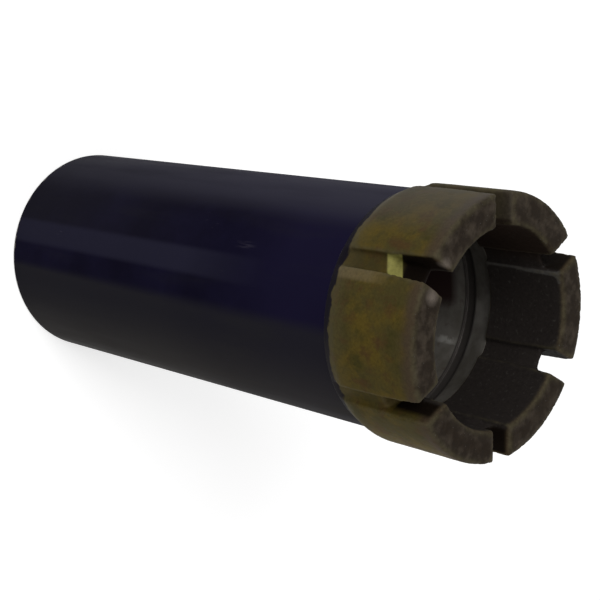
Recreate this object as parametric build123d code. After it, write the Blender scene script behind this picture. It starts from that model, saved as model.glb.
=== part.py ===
from build123d import *
import os

# A diamond core bit for rock drilling, standing on the threaded end of its shank.
# Millimetres. Z is the bit's axis, Z = 0 is the shank's rear rim, and the cutting face looks along +Z.
#
# Two physical pieces:
#   steel_shank   the turned steel blank: box thread, bore, core lifter seat and the nose in the crown
#   matrix_crown  the infiltrated crown that is bonded on the nose, with its waterways

# --- driving dimensions: radii, stacked outwards from the core ----------------------------------
core_diameter = 57.0       # rock core that passes through the crown
flute_depth = 1.2          # inner waterway flutes, in the crown's lining
lining_backing = 1.0       # matrix left behind a flute
nose_wall = 3.95           # wall of the blank's nose inside the crown
nose_step = 1.35           # step from the nose out to the shank's surface
groove_lift = 0.15         # floor of the outer grooves above the shank's surface
groove_depth = 2.0         # outer grooves, measured in from the crown's surface

# --- driving dimensions: shank -------------------------------------------------------------------
shank_length = 157.5       # rear rim to the crown's rear edge
shank_wall = 3.6           # wall round the plain bore
rim_chamfer = 0.5          # outside edge of the rear rim
thread_wall = 2.2          # wall behind the box thread's roots
thread_length = 42.0
thread_lead_in = 0.5       # chamfer in the mouth of the thread
thread_relief_depth = 0.6  # run-out groove past the thread, below its roots
thread_relief_width = 5.0
thread_stop_length = 1.6   # cone from the run-out groove in to the plain bore
seat_length = 8.8          # cone on which the core lifter case seats
seat_relief_depth = 0.8    # groove where the cone meets the plain bore
seat_relief_width = 3.4

# --- driving dimensions: crown -------------------------------------------------------------------
crown_length = 34.0
shoulder_length = 5.4      # taper from the shank's surface out to the crown's
face_outer_radius = 1.2    # rounding of the cutting face's outer edge
face_inner_radius = 0.8
nose_backing = 0.8         # matrix between the run-out of a waterway and the tip of the nose
nose_chamfer = 0.8
lining_overlap = 10.2      # how far the lining runs down inside the nose

waterway_count = 6
waterway_phase = 30.0      # degrees from +X to the first waterway
waterway_drift = {4: -4.5, 5: -3.5}  # degrees off even pitch, where an insert of the mould stood askew
waterway_face_width = 7.0  # width at the cutting face, narrowing back to the run-out
waterway_back_width = 5.4  # width of the groove behind the run-out
waterway_slot_depth = 6.5  # cut through the whole wall, measured back from the cutting face
waterway_web = 1.0         # web left between the pocket and the flute, at the root of the slot
waterway_web_growth = 0.8  # how much thicker the web is at the back of the pocket
waterway_pocket = 7.0      # length of the pocket behind the slot
waterway_run_out = 2.2     # height of the steep slope from the pocket out to the groove's floor
waterway_corner = 4.0      # rounding between the pocket's floor and that slope
cut_margin = 3.0           # how far a cutter reaches past the surface it opens

# --- worked-out radii ----------------------------------------------------------------------------
core_radius = core_diameter / 2
flute_radius = core_radius + flute_depth
lining_radius = flute_radius + lining_backing
nose_radius = lining_radius + nose_wall
shank_radius = nose_radius + nose_step
groove_radius = shank_radius + groove_lift
crown_radius = groove_radius + groove_depth
bore_radius = shank_radius - shank_wall
thread_radius = shank_radius - thread_wall
web_front_radius = flute_radius + waterway_web
web_back_radius = web_front_radius + waterway_web_growth

# --- worked-out heights --------------------------------------------------------------------------
face_z = shank_length + crown_length
slot_root_z = face_z - waterway_slot_depth
pocket_end_z = slot_root_z - waterway_pocket
run_out_z = pocket_end_z - waterway_run_out
nose_tip_z = run_out_z - nose_backing
lining_end_z = nose_tip_z - lining_overlap
seat_end_z = lining_end_z - seat_length
seat_relief_z = seat_end_z - seat_relief_width
thread_end_z = thread_length + thread_relief_width
thread_stop_z = thread_end_z + thread_stop_length


def turned(outline):
    """Solid turned about Z from a closed outline of (radius, height) points."""
    section = make_face(Polyline([(radius, 0, height) for radius, height in outline], close=True))
    return revolve(section, axis=Axis.Z)


def nose_outline():
    """Outline of the blank's nose, from the shoulder under the crown in to the end of the lining."""
    return [
        (nose_radius, shank_length),
        (nose_radius, nose_tip_z - nose_chamfer),
        (nose_radius - nose_chamfer, nose_tip_z),
        (lining_radius + nose_chamfer, nose_tip_z),
        (lining_radius, nose_tip_z - nose_chamfer),
        (lining_radius, lining_end_z),
    ]


def steel_shank():
    """Turned blank: thread mouth, surface, nose, lifter seat, relief, bore and thread, in that order."""
    thread_relief_radius = thread_radius + thread_relief_depth
    seat_relief_radius = bore_radius + seat_relief_depth
    outside = [
        (thread_radius + thread_lead_in, 0),
        (shank_radius - rim_chamfer, 0),
        (shank_radius, rim_chamfer),
        (shank_radius, shank_length),
    ]
    seat = [
        (flute_radius, lining_end_z),
        (bore_radius, seat_end_z),
        (seat_relief_radius, seat_end_z),
        (seat_relief_radius, seat_relief_z),
        (bore_radius, seat_relief_z),
    ]
    thread_box = [
        (bore_radius, thread_stop_z),
        (thread_relief_radius, thread_end_z),
        (thread_relief_radius, thread_length),
        (thread_radius, thread_length),
        (thread_radius, thread_lead_in),
    ]
    return turned(outside + nose_outline() + seat + thread_box)


def crown_body():
    """Crown before its waterways are cut, with the pocket that the nose fills."""
    outside = [
        (shank_radius, shank_length),
        (crown_radius, shank_length + shoulder_length),
        (crown_radius, face_z),
        (core_radius, face_z),
        (core_radius, lining_end_z),
    ]
    pocket = list(reversed(nose_outline()))
    body = turned(outside + pocket)
    inner_edge, outer_edge = body.edges().group_by(Axis.Z)[-1].sort_by(SortBy.RADIUS)
    body = fillet(outer_edge, face_outer_radius)
    inner_edge = body.edges().group_by(Axis.Z)[-1].sort_by(SortBy.RADIUS)[0]
    return fillet(inner_edge, face_inner_radius)


def waterway():
    """Cutter for one waterway, lying over +X: slot, pocket, run-out and outer groove, then the flute."""
    inside = core_radius - cut_margin
    outside = crown_radius + cut_margin
    above = face_z + cut_margin
    side_profile = make_face(Polyline(
        (inside, 0, above),
        (inside, 0, slot_root_z),
        (web_front_radius, 0, slot_root_z),
        (web_back_radius, 0, pocket_end_z),
        (groove_radius, 0, run_out_z),
        (groove_radius, 0, shank_length - cut_margin),
        (outside, 0, shank_length - cut_margin),
        (outside, 0, above),
        close=True,
    ))
    corner = side_profile.vertices().sort_by_distance((web_back_radius, 0, pocket_end_z))[0]
    side_profile = fillet(corner, waterway_corner)
    flute_profile = make_face(Polyline(
        (inside, 0, above),
        (inside, 0, lining_end_z - cut_margin),
        (flute_radius, 0, lining_end_z - cut_margin),
        (flute_radius, 0, above),
        close=True,
    ))
    face_half = waterway_face_width / 2
    back_half = waterway_back_width / 2
    open_half = face_half + (face_half - back_half) * cut_margin / (face_z - run_out_z)
    plan = make_face(Polyline(
        (inside, open_half, above),
        (inside, back_half, run_out_z),
        (inside, back_half, shank_length - cut_margin),
        (inside, -back_half, shank_length - cut_margin),
        (inside, -back_half, run_out_z),
        (inside, -open_half, above),
        close=True,
    ))
    width = extrude(plan, amount=outside - inside, dir=(1, 0, 0))
    depth = extrude(side_profile, amount=waterway_face_width, both=True)
    flute = extrude(flute_profile, amount=waterway_face_width, both=True)
    return (depth + flute) & width


def matrix_crown():
    """Infiltrated crown with its ring of waterways, two of which stand a few degrees off even pitch."""
    cutter = waterway()
    crown = crown_body()
    for number in range(waterway_count):
        even_pitch = waterway_phase + number * 360 / waterway_count
        crown -= Rot(0, 0, even_pitch + waterway_drift.get(number, 0.0)) * cutter
    return crown


os.makedirs("parts", exist_ok=True)
for node, shape in (("steel_shank", steel_shank()), ("matrix_crown", matrix_crown())):
    shape.label = node
    export_step(shape, f"parts/{node}.step")
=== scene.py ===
import logging
import math
from dataclasses import dataclass, field
from enum import Enum
from typing import Any, Callable

import bmesh
import bpy
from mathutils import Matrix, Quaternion, Vector


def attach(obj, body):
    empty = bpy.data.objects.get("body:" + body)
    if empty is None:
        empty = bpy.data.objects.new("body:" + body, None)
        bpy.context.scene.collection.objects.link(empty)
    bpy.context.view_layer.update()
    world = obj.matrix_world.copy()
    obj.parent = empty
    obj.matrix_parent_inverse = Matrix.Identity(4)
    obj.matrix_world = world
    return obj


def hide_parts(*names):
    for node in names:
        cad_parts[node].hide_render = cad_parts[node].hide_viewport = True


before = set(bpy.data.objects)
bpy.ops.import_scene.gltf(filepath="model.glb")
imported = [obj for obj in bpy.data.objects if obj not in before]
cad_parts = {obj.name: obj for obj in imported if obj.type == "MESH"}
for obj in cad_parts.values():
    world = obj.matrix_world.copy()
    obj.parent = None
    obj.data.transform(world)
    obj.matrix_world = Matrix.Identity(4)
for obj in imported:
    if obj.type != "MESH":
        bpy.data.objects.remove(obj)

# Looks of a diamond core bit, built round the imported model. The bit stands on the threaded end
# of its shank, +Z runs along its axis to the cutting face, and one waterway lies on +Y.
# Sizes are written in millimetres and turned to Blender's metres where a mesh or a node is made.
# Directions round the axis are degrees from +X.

LOG = logging.getLogger("core_bit")
MM = 0.001
BODY = "root"

Point = tuple[float, float]
Place = tuple[float, float, float]
Corner = tuple[float, float, float]
Colour = tuple[float, float, float, float]

# Sockets of a Mix node that is set to colours.
MIX_A, MIX_B, MIX_RESULT = 6, 7, 2


class Slot(Enum):
    """Material slots of the record, which finish_piece is given but does not use."""

    SHANK = "shank"
    CROWN = "crown"


class Attribute(Enum):
    """Float attributes that the crown's mesh carries for its finish, from 0 to 1."""

    EDGE = "edge"
    FACE = "cutting_face"
    LINING = "lining"
    CHANNEL = "channel"
    RUN_OUT = "run_out"


# --- small tools ----------------------------------------------------------------------------------


def linear(code: str) -> Colour:
    """Linear colour for Blender from an sRGB hex code.

    Args:
        code: Six hex digits after a hash sign.

    Returns:
        Red, green, blue and alpha, with alpha at 1.
    """
    values = []
    for start in (1, 3, 5):
        share = int(code[start:start + 2], 16) / 255
        values.append(share / 12.92 if share <= 0.04045 else ((share + 0.055) / 1.055) ** 2.4)
    return (*values, 1.0)


def per_metre(size_mm: float) -> float:
    """Scale of a texture node whose features are size_mm across, on coordinates in metres."""
    return 1 / (size_mm * MM)


def backward(azimuth: float, elevation: float) -> Vector:
    """Direction from what is looked at to the eye, from its azimuth and elevation in degrees."""
    turn, rise = math.radians(azimuth), math.radians(elevation)
    return Vector((math.sin(turn) * math.cos(rise), -math.cos(turn) * math.cos(rise),
                   math.sin(rise)))


def add_node(tree: bpy.types.NodeTree, kind: str, inputs: dict[Any, Any] | None = None,
             **settings: Any) -> bpy.types.Node:
    """Adds a node with its settings, its constants and its links.

    Args:
        tree: Material or geometry tree that gets the node.
        kind: Blender's type name of the node.
        inputs: Socket name or number, with a constant, or a socket, term or node to link.
        settings: Properties of the node itself.

    Returns:
        The new node.
    """
    node = tree.nodes.new(kind)
    for name, value in settings.items():
        setattr(node, name, value)
    for key, value in (inputs or {}).items():
        if isinstance(value, bpy.types.Node):
            value = value.outputs[0]
        if isinstance(value, Term):
            value = value.socket
        if isinstance(value, bpy.types.NodeSocket):
            tree.links.new(value, node.inputs[key])
        else:
            node.inputs[key].default_value = value
    return node


@dataclass(frozen=True)
class Fade:
    """Share that goes from least to most as a number goes from one value to another."""

    none_at: float
    full_at: float
    most: float = 1.0
    least: float = 0.0


class Term:
    """Number that a node tree works out, so that a sum is written as a sum."""

    def __init__(self, tree: bpy.types.NodeTree, source: Any) -> None:
        """Holds a socket, or the first output of a node."""
        self.tree = tree
        self.socket = source.outputs[0] if isinstance(source, bpy.types.Node) else source

    def math(self, operation: str, *others: Any) -> "Term":
        """Result of one operation on this number and up to two others."""
        return Term(self.tree, add_node(self.tree, "ShaderNodeMath",
                                        dict(enumerate((self, *others))), operation=operation))

    def __add__(self, other: Any) -> "Term":
        """Sum."""
        return self.math("ADD", other)

    def __sub__(self, other: Any) -> "Term":
        """Difference."""
        return self.math("SUBTRACT", other)

    def __mul__(self, other: Any) -> "Term":
        """Product."""
        return self.math("MULTIPLY", other)

    def rest(self) -> "Term":
        """What is left of 1."""
        return self.math("MULTIPLY_ADD", -1.0, 1.0)

    def through(self, fade: Fade, unit: float = 1.0, kind: str = "LINEAR") -> "Term":
        """Share that a fade gives this number.

        Args:
            fade: Fade in the number's own units.
            unit: Factor that brings the fade's ends to those units.
            kind: Blender's name of the fade's shape.

        Returns:
            The share.
        """
        return Term(self.tree, add_node(
            self.tree, "ShaderNodeMapRange",
            {"Value": self, "From Min": fade.none_at * unit, "From Max": fade.full_at * unit,
             "To Min": fade.least, "To Max": fade.most}, interpolation_type=kind))

    def eased(self, fade: Fade, unit: float = 1.0) -> "Term":
        """Share that a fade gives this number, with a gentle start and end."""
        return self.through(fade, unit, "SMOOTHSTEP")


def new_material(name: str) -> tuple[bpy.types.Material, bpy.types.NodeTree]:
    """Empty node material and its tree."""
    material = bpy.data.materials.new(name)
    material.use_nodes = True
    material.node_tree.nodes.clear()
    return material, material.node_tree


def new_geometry_tree(name: str, sizes: dict[str, str]) -> bpy.types.NodeTree:
    """Geometry tree with a geometry input, a geometry output and named inputs.

    Args:
        name: Name of the tree.
        sizes: Input name and the end of its socket's type, in the order in which they show.

    Returns:
        The tree, still without nodes.
    """
    tree = bpy.data.node_groups.new(name, "GeometryNodeTree")
    tree.interface.new_socket("Geometry", in_out="INPUT", socket_type="NodeSocketGeometry")
    for label, kind in sizes.items():
        tree.interface.new_socket(label, in_out="INPUT", socket_type="NodeSocket" + kind)
    tree.interface.new_socket("Geometry", in_out="OUTPUT", socket_type="NodeSocketGeometry")
    return tree


def end_tree(tree: bpy.types.NodeTree, geometry: Any, material: Any) -> None:
    """Ends a geometry tree with plain geometry that wears its material."""
    plain = add_node(tree, "GeometryNodeRealizeInstances", {"Geometry": geometry})
    dressed = add_node(tree, "GeometryNodeSetMaterial", {"Geometry": plain, "Material": material})
    add_node(tree, "NodeGroupOutput", {0: dressed})


def apply_tree(piece: bpy.types.Object, tree: bpy.types.NodeTree, values: dict[str, Any]) -> None:
    """Runs a geometry tree on a piece and keeps its result as a plain mesh.

    Args:
        piece: Object that the tree works on.
        tree: Tree from new_geometry_tree.
        values: Value for each named input.
    """
    modifier = piece.modifiers.new(tree.name, "NODES")
    modifier.node_group = tree
    for item in tree.interface.items_tree:
        if item.in_out == "INPUT" and item.name in values:
            modifier[item.identifier] = values[item.name]
    freeze(piece)


def freeze(piece: bpy.types.Object) -> None:
    """Turns the piece's modifiers into its plain mesh."""
    bpy.context.view_layer.update()
    evaluated = piece.evaluated_get(bpy.context.evaluated_depsgraph_get())
    mesh = bpy.data.meshes.new_from_object(evaluated)
    old = piece.data
    piece.modifiers.clear()
    piece.data = mesh
    mesh.name = piece.name
    bpy.data.meshes.remove(old)


def new_piece(name: str, vertices: list[Place], faces: list[tuple[int, ...]]) -> bpy.types.Object:
    """Object with a mesh from points in millimetres.

    Args:
        name: Name of the object and its mesh.
        vertices: Points in millimetres.
        faces: Vertex numbers of each face.

    Returns:
        The object, linked to the scene and at the origin.
    """
    mesh = bpy.data.meshes.new(name)
    mesh.from_pydata([(x * MM, y * MM, z * MM) for x, y, z in vertices], [], faces)
    mesh.validate()
    mesh.update()
    piece = bpy.data.objects.new(name, mesh)
    bpy.context.scene.collection.objects.link(piece)
    return piece


def remove_piece(piece: bpy.types.Object) -> None:
    """Removes a tool that has done its work, with its mesh."""
    mesh = piece.data
    bpy.data.objects.remove(piece)
    bpy.data.meshes.remove(mesh)


def close_surface(piece: bpy.types.Object, hull: bool = False) -> None:
    """Points a closed mesh's faces outwards, after a hull round its points where that is asked."""
    work = bmesh.new()
    work.from_mesh(piece.data)
    if hull:
        bmesh.ops.convex_hull(work, input=work.verts)
    bmesh.ops.recalc_face_normals(work, faces=work.faces)
    work.to_mesh(piece.data)
    work.free()


def smooth(piece: bpy.types.Object, sharp_angle: float) -> None:
    """Shades a piece smooth, with sharp edges past an angle in degrees."""
    piece.data.polygons.foreach_set("use_smooth", [True] * len(piece.data.polygons))
    piece.data.set_sharp_from_angle(angle=math.radians(sharp_angle))


def finish_piece(piece: bpy.types.Object, slot: Slot, *nodes: str) -> None:
    """Hands a finished piece to the frame.

    Args:
        piece: Plain mesh at the origin.
        slot: Material slot of the record; not used.
        nodes: CAD nodes that the piece stands for.
    """
    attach(piece, BODY)
    if nodes:
        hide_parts(*nodes)
    piece.data.calc_loop_triangles()
    LOG.info("%s: %d triangles", piece.name, len(piece.data.loop_triangles))


def rounded(corners: list[Corner], steps: int) -> list[Point]:
    """Closed outline with its corners rounded.

    Args:
        corners: Radius, height and rounding of each corner, in millimetres.
        steps: Points that a rounded corner is divided into.

    Returns:
        Points of radius and height.
    """
    most_of_side = 0.45
    points: list[Point] = []
    for number, (radius, height, rounding) in enumerate(corners):
        here = Vector((radius, height))
        if rounding <= 0:
            points.append((radius, height))
            continue
        ends = []
        for other in (corners[number - 1], corners[(number + 1) % len(corners)]):
            side = Vector(other[:2]) - here
            ends.append(here + side.normalized() * min(rounding, most_of_side * side.length))
        for step in range(steps + 1):
            share = step / steps
            point = (ends[0] * (1 - share) ** 2 + here * 2 * share * (1 - share)
                     + ends[1] * share ** 2)
            points.append((point.x, point.y))
    return points


def turned(name: str, outline: list[Point], steps: int,
           finish_at: Callable[[Point, Point], int] = lambda start, end: 0) -> bpy.types.Object:
    """Closed solid turned about Z.

    Args:
        name: Name of the object.
        outline: Closed outline that goes up outside and down inside.
        steps: Faces round the axis.
        finish_at: Material number of the band between two points of the outline.

    Returns:
        The object.
    """
    vertices = []
    for radius, height in outline:
        for step in range(steps):
            angle = 2 * math.pi * step / steps
            vertices.append((radius * math.cos(angle), radius * math.sin(angle), height))
    faces = []
    finishes = []
    for row in range(len(outline)):
        after = (row + 1) % len(outline)
        finish = finish_at(outline[row], outline[after])
        for step in range(steps):
            beside = (step + 1) % steps
            faces.append((row * steps + step, row * steps + beside,
                          after * steps + beside, after * steps + step))
            finishes.append(finish)
    piece = new_piece(name, vertices, faces)
    piece.data.polygons.foreach_set("material_index", finishes)
    return piece


# --- where a colour lies --------------------------------------------------------------------------


@dataclass(frozen=True)
class Side:
    """Side of the bit: its direction, and the degrees from it at which a share is 0 and is full."""

    middle: float
    none_at: float
    full_at: float
    most: float = 1.0


@dataclass(frozen=True)
class Cloud:
    """Noise with features of a real size, and the fade that makes a share of it.

    along squeezes the noise on the axis, which draws it out into streaks. tilt turns it, in
    radians. shift moves it, in metres, so that two clouds differ.
    """

    size: float
    fade: Fade = Fade(0.0, 1.0)
    detail: float = 4.0
    roughness: float = 0.6
    shift: float = 0.0
    tilt: Place = (0.0, 0.0, 0.0)
    along: float = 1.0


@dataclass(frozen=True)
class Zone:
    """Part of the surface where all that it names meets.

    heights are fades along the axis and radii are fades out from it, both in millimetres.
    """

    side: Side | None = None
    heights: tuple[Fade, ...] = ()
    radii: tuple[Fade, ...] = ()
    cloud: Cloud | None = None
    mark: Attribute | None = None


@dataclass(frozen=True)
class Patch:
    """Named colour on a zone."""

    name: str
    code: str
    zone: Zone


def between(low: float, high: float, soft: float, most: float = 1.0) -> tuple[Fade, Fade]:
    """Fades of a band between two heights, with a soft border outside both."""
    return Fade(low - soft, low, most), Fade(high + soft, high)


class Surface:
    """Material in the making: where a point lies on the bit, and the colour laid on so far."""

    def __init__(self, name: str, code: str) -> None:
        """Starts a material in one plain colour.

        Args:
            name: Name of the material.
            code: Its colour, as an sRGB hex code.
        """
        self.material, self.tree = new_material(name)
        self.colour: Any = linear(code)
        self.place = self.add("ShaderNodeTexCoord").outputs["Object"]
        self.height = self.term("ShaderNodeSeparateXYZ", {0: self.place}, "Z")
        level = self.add("ShaderNodeVectorMath", {0: self.place, 1: (1.0, 1.0, 0.0)},
                         operation="MULTIPLY")
        self.radius = self.term("ShaderNodeVectorMath", {0: level}, "Value", operation="LENGTH")
        self.outward = self.add("ShaderNodeVectorMath", {0: level}, operation="NORMALIZE")

    def add(self, kind: str, inputs: dict[Any, Any] | None = None,
            **settings: Any) -> bpy.types.Node:
        """Adds a node to this material, as add_node does."""
        return add_node(self.tree, kind, inputs, **settings)

    def term(self, kind: str, inputs: dict[Any, Any] | None = None, output: int | str = 0,
             **settings: Any) -> Term:
        """Adds a node to this material and gives one of its outputs as a number."""
        return Term(self.tree, self.add(kind, inputs, **settings).outputs[output])

    def side(self, side: Side) -> Term:
        """Share of the surface on one side of the axis."""
        turn = math.radians(side.middle)
        facing = self.term("ShaderNodeVectorMath",
                           {0: self.outward, 1: (math.cos(turn), math.sin(turn), 0.0)}, "Value",
                           operation="DOT_PRODUCT")
        return facing.eased(Fade(math.cos(math.radians(side.none_at)),
                                 math.cos(math.radians(side.full_at)), side.most))

    def noise(self, cloud: Cloud) -> Term:
        """Noise of a cloud before its fade, about 0.5 on average."""
        place = self.add("ShaderNodeMapping", {
            "Vector": self.place, "Location": (cloud.shift,) * 3, "Rotation": cloud.tilt,
            "Scale": (1.0, 1.0, cloud.along)})
        return self.term("ShaderNodeTexNoise", {
            "Vector": place, "Scale": per_metre(cloud.size), "Detail": cloud.detail,
            "Roughness": cloud.roughness})

    def share(self, zone: Zone) -> Term:
        """Share of the surface that a zone covers."""
        masks = [self.height.through(fade, MM) for fade in zone.heights]
        masks += [self.radius.through(fade, MM) for fade in zone.radii]
        if zone.side:
            masks.append(self.side(zone.side))
        if zone.cloud:
            masks.append(self.noise(zone.cloud).through(zone.cloud.fade))
        if zone.mark:
            masks.append(self.term("ShaderNodeAttribute", None, "Fac",
                                   attribute_name=zone.mark.value))
        return math.prod(masks[1:], start=masks[0])

    def blend(self, share: Any, under: Any, over: Any, name: str = "") -> bpy.types.NodeSocket:
        """Colour over another colour, by a share from 0 to 1.

        Args:
            share: How much of the upper colour shows.
            under: Lower colour, as a hex code, a linear colour or a socket.
            over: Upper colour, in the same way.
            name: Label of the node.

        Returns:
            The colour's socket.
        """
        under, over = (linear(tone) if isinstance(tone, str) else tone for tone in (under, over))
        return self.add("ShaderNodeMix", {0: share, MIX_A: under, MIX_B: over},
                        data_type="RGBA", label=name).outputs[MIX_RESULT]

    def lay(self, share: Any, over: Any, name: str = "") -> None:
        """Lays a colour over what is there, by a share from 0 to 1."""
        self.colour = self.blend(share, self.colour, over, name)

    def lay_patches(self, *patches: Patch) -> None:
        """Lays patches over what is there, in their order."""
        for patch in patches:
            self.lay(self.share(patch.zone), patch.code, patch.name)

    def close(self, inputs: dict[str, Any]) -> bpy.types.Material:
        """Ends the material with its shader.

        Args:
            inputs: What the shader gets besides its colour.

        Returns:
            The material.
        """
        shader = self.add("ShaderNodeBsdfPrincipled", {"Base Color": self.colour, **inputs})
        self.add("ShaderNodeOutputMaterial", {"Surface": shader})
        return self.material


# --- finishes -------------------------------------------------------------------------------------


@dataclass(frozen=True)
class IndigoEnamel:
    """Sprayed solvent enamel: nearly black with an indigo cast, a low gloss and handling scuffs."""

    paint: str = "#100E1D"
    # Dust colours, which also paint the floor's reflection on one flank.
    dust_and_reflection: str = "#232227"
    pale_dust_and_reflection: str = "#343231"
    scuff: str = "#36333F"
    bare: str = "#6E6A66"
    specular_level: float = 0.002
    roughness: Fade = Fade(0.35, 0.7, 0.6, 0.44)
    haze: Cloud = Cloud(7.0, Fade(0.52, 0.8, 0.3), roughness=0.55, along=0.14)
    # The paint is thin in places, bluer and fresher next to the crown, and has a painted sheen on
    # one side.
    coats: tuple[Patch, ...] = (
        Patch("thin paint", "#151326", Zone(cloud=Cloud(26.0, Fade(0.42, 0.66), 5.0))),
        Patch("front paint", "#19162C", Zone(heights=(Fade(112.0, 138.0, 0.8),))),
        Patch("sheen", "#32313C", Zone(side=Side(-142.0, 35.0, 6.0))),
    )
    # Dust and a painted reflection of the floor cover one flank, paler towards its edge. Dust also
    # thins out towards the crown, and is kept off a dark strip that is a painted reflection of the
    # bit's shadow.
    floor_reflection_side: Side = Side(0.0, 65.0, 57.0, 0.85)
    pale_reflection_side: Side = Side(12.0, 66.0, 14.0)
    rear_dust: Fade = Fade(110.0, 10.0, 0.5)
    shadow_reflection_side: Side = Side(-69.0, 10.0, 5.0, 0.9)
    # A painted highlight streak, 8 mm wide, runs along the shank and fades before the crown.
    smear: Patch = Patch("smear", "#262534", Zone(side=Side(-81.0, 8.0, 4.5),
                                                  heights=(Fade(132.0, 95.0, 0.75),)))
    # Hairline scuffs from handling, drawn wide enough to show, in a few patches and at one knock.
    scratches: Cloud = Cloud(0.7, detail=1.0, roughness=0.5, tilt=(0.3, 0.5, 0.0), along=0.16)
    hairline: Fade = Fade(0.72, 0.79)
    scuffed_zone: Zone = Zone(cloud=Cloud(17.0, Fade(0.6, 0.68), 2.0, 0.5))
    knock: Zone = Zone(side=Side(-93.0, 2.4, 0.8),
                       heights=(Fade(115.0, 120.0, 0.45), Fade(125.0, 121.0)))
    knock_line: Fade = Fade(0.42, 0.62)
    # The rear rim has lost its paint in chips up to 2 mm long.
    chips: Cloud = Cloud(1.6, detail=3.0, roughness=0.5)
    chip_reach: float = 4.2
    chip_start: float = 1.35
    chip_border: Fade = Fade(0.0, 0.12)
    orange_peel: Cloud = Cloud(1.4, detail=1.5, roughness=0.5)
    peel_strength: float = 0.25
    peel_depth: float = 0.03

    def material(self) -> bpy.types.Material:
        """Builds the enamel."""
        coat = Surface("indigo enamel", self.paint)
        coat.lay_patches(*self.coats)
        haze = coat.noise(self.haze)
        # Painted reflection of the floor on one flank and a painted dark strip of reflected shadow,
        # laid with the dust.
        off_shadow_reflection = coat.side(self.shadow_reflection_side).rest()
        dust_and_reflection_share = coat.side(self.floor_reflection_side) + coat.height.through(self.rear_dust, MM) * off_shadow_reflection
        dust_and_reflection_share = dust_and_reflection_share + haze.through(self.haze.fade)
        dust_and_reflection = coat.blend(coat.side(self.pale_reflection_side), self.dust_and_reflection, self.pale_dust_and_reflection)
        coat.lay(dust_and_reflection_share, dust_and_reflection, "dust_and_reflection")
        # Painted highlight streak along the shank.
        coat.lay_patches(self.smear)
        scratches = coat.noise(self.scratches)
        scuffs = scratches.through(self.hairline) * coat.share(self.scuffed_zone)
        knock = coat.share(self.knock) * scratches.through(self.knock_line)
        coat.lay(scuffs.math("MAXIMUM", knock), self.scuff, "scuffs")
        reach = coat.noise(self.chips) * (self.chip_reach * MM) - self.chip_start * MM
        chipped = (reach - coat.height).through(self.chip_border, MM)
        coat.lay(chipped, self.bare, "chipped rim")
        peel = coat.noise(self.orange_peel) - chipped
        return coat.close({
            "Roughness": haze.through(self.roughness), "Specular IOR Level": self.specular_level,
            "Normal": coat.add("ShaderNodeBump", {
                "Height": peel, "Strength": self.peel_strength,
                "Distance": self.peel_depth * MM})})


@dataclass(frozen=True)
class TurnedSteel:
    """Bare alloy steel off the lathe: fine rings round the axis, dulled by a film of oil."""

    steel: str = "#77736D"
    oiled: str = "#5D5952"
    stain: str = "#4A3E33"
    # rubbed is the colour of the painted glint in the bore.
    rubbed: str = "#A5A39D"
    metallic: float = 0.4
    specular_level: float = 0.15
    roughness: Fade = Fade(0.3, 0.7, 0.62, 0.42)
    oil_film: Cloud = Cloud(9.0, Fade(0.38, 0.62), roughness=0.5)
    stains: Cloud = Cloud(3.5, Fade(0.58, 0.72, 0.5), 5.0, 0.65)
    # A painted shadow lies on one side of the bore, a painted glint shines, and painted shade
    # darkens the groove.
    slurry: Patch = Patch("slurry", "#322120", Zone(side=Side(128.0, 21.0, 12.0),
                                                    heights=between(128.0, 146.2, 3.4, 0.95)))
    painted_glint: Zone = Zone(side=Side(91.3, 2.8, 0.2), heights=between(146.0, 149.5, 3.0))
    glint_patches: Fade = Fade(0.4, 0.56)
    relief_groove_shade: Patch = Patch("groove dirt", "#393533",
                               Zone(heights=between(152.2, 156.4, 0.5, 0.9)))
    # Feed marks of the lathe tool, drawn at 0.5 mm pitch because the real 0.1 mm would not show.
    # At a scale of 1 the wave texture repeats every 0.314 units.
    feed: float = 0.5
    wave_length: float = 0.314
    feed_wobble: float = 0.6
    feed_strength: float = 0.35
    feed_depth: float = 0.02

    def material(self) -> bpy.types.Material:
        """Builds the steel."""
        steel = Surface("turned steel", self.steel)
        film = steel.noise(self.oil_film)
        steel.lay(film.through(self.oil_film.fade), self.oiled, "oil film")
        stains = steel.noise(self.stains)
        steel.lay(stains.through(self.stains.fade), self.stain, "stains")
        # Painted shadow on one side of the bore.
        steel.lay_patches(self.slurry)
        # Painted glint on the far side of the bore, in patches.
        steel.lay(steel.share(self.painted_glint) * stains.through(self.glint_patches), self.rubbed, "painted_glint")
        # Painted shade in the relief groove.
        steel.lay_patches(self.relief_groove_shade)
        rings = steel.term("ShaderNodeTexWave", {
            "Vector": steel.place, "Scale": per_metre(self.feed) * self.wave_length,
            "Distortion": self.feed_wobble, "Detail": 2.0, "Detail Scale": 1.0}, "Fac",
            wave_type="BANDS", bands_direction="Z", wave_profile="SIN")
        return steel.close({
            "Metallic": self.metallic, "Roughness": film.through(self.roughness),
            "Specular IOR Level": self.specular_level,
            "Normal": steel.add("ShaderNodeBump", {
                "Height": rings, "Strength": self.feed_strength,
                "Distance": self.feed_depth * MM})})


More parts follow.
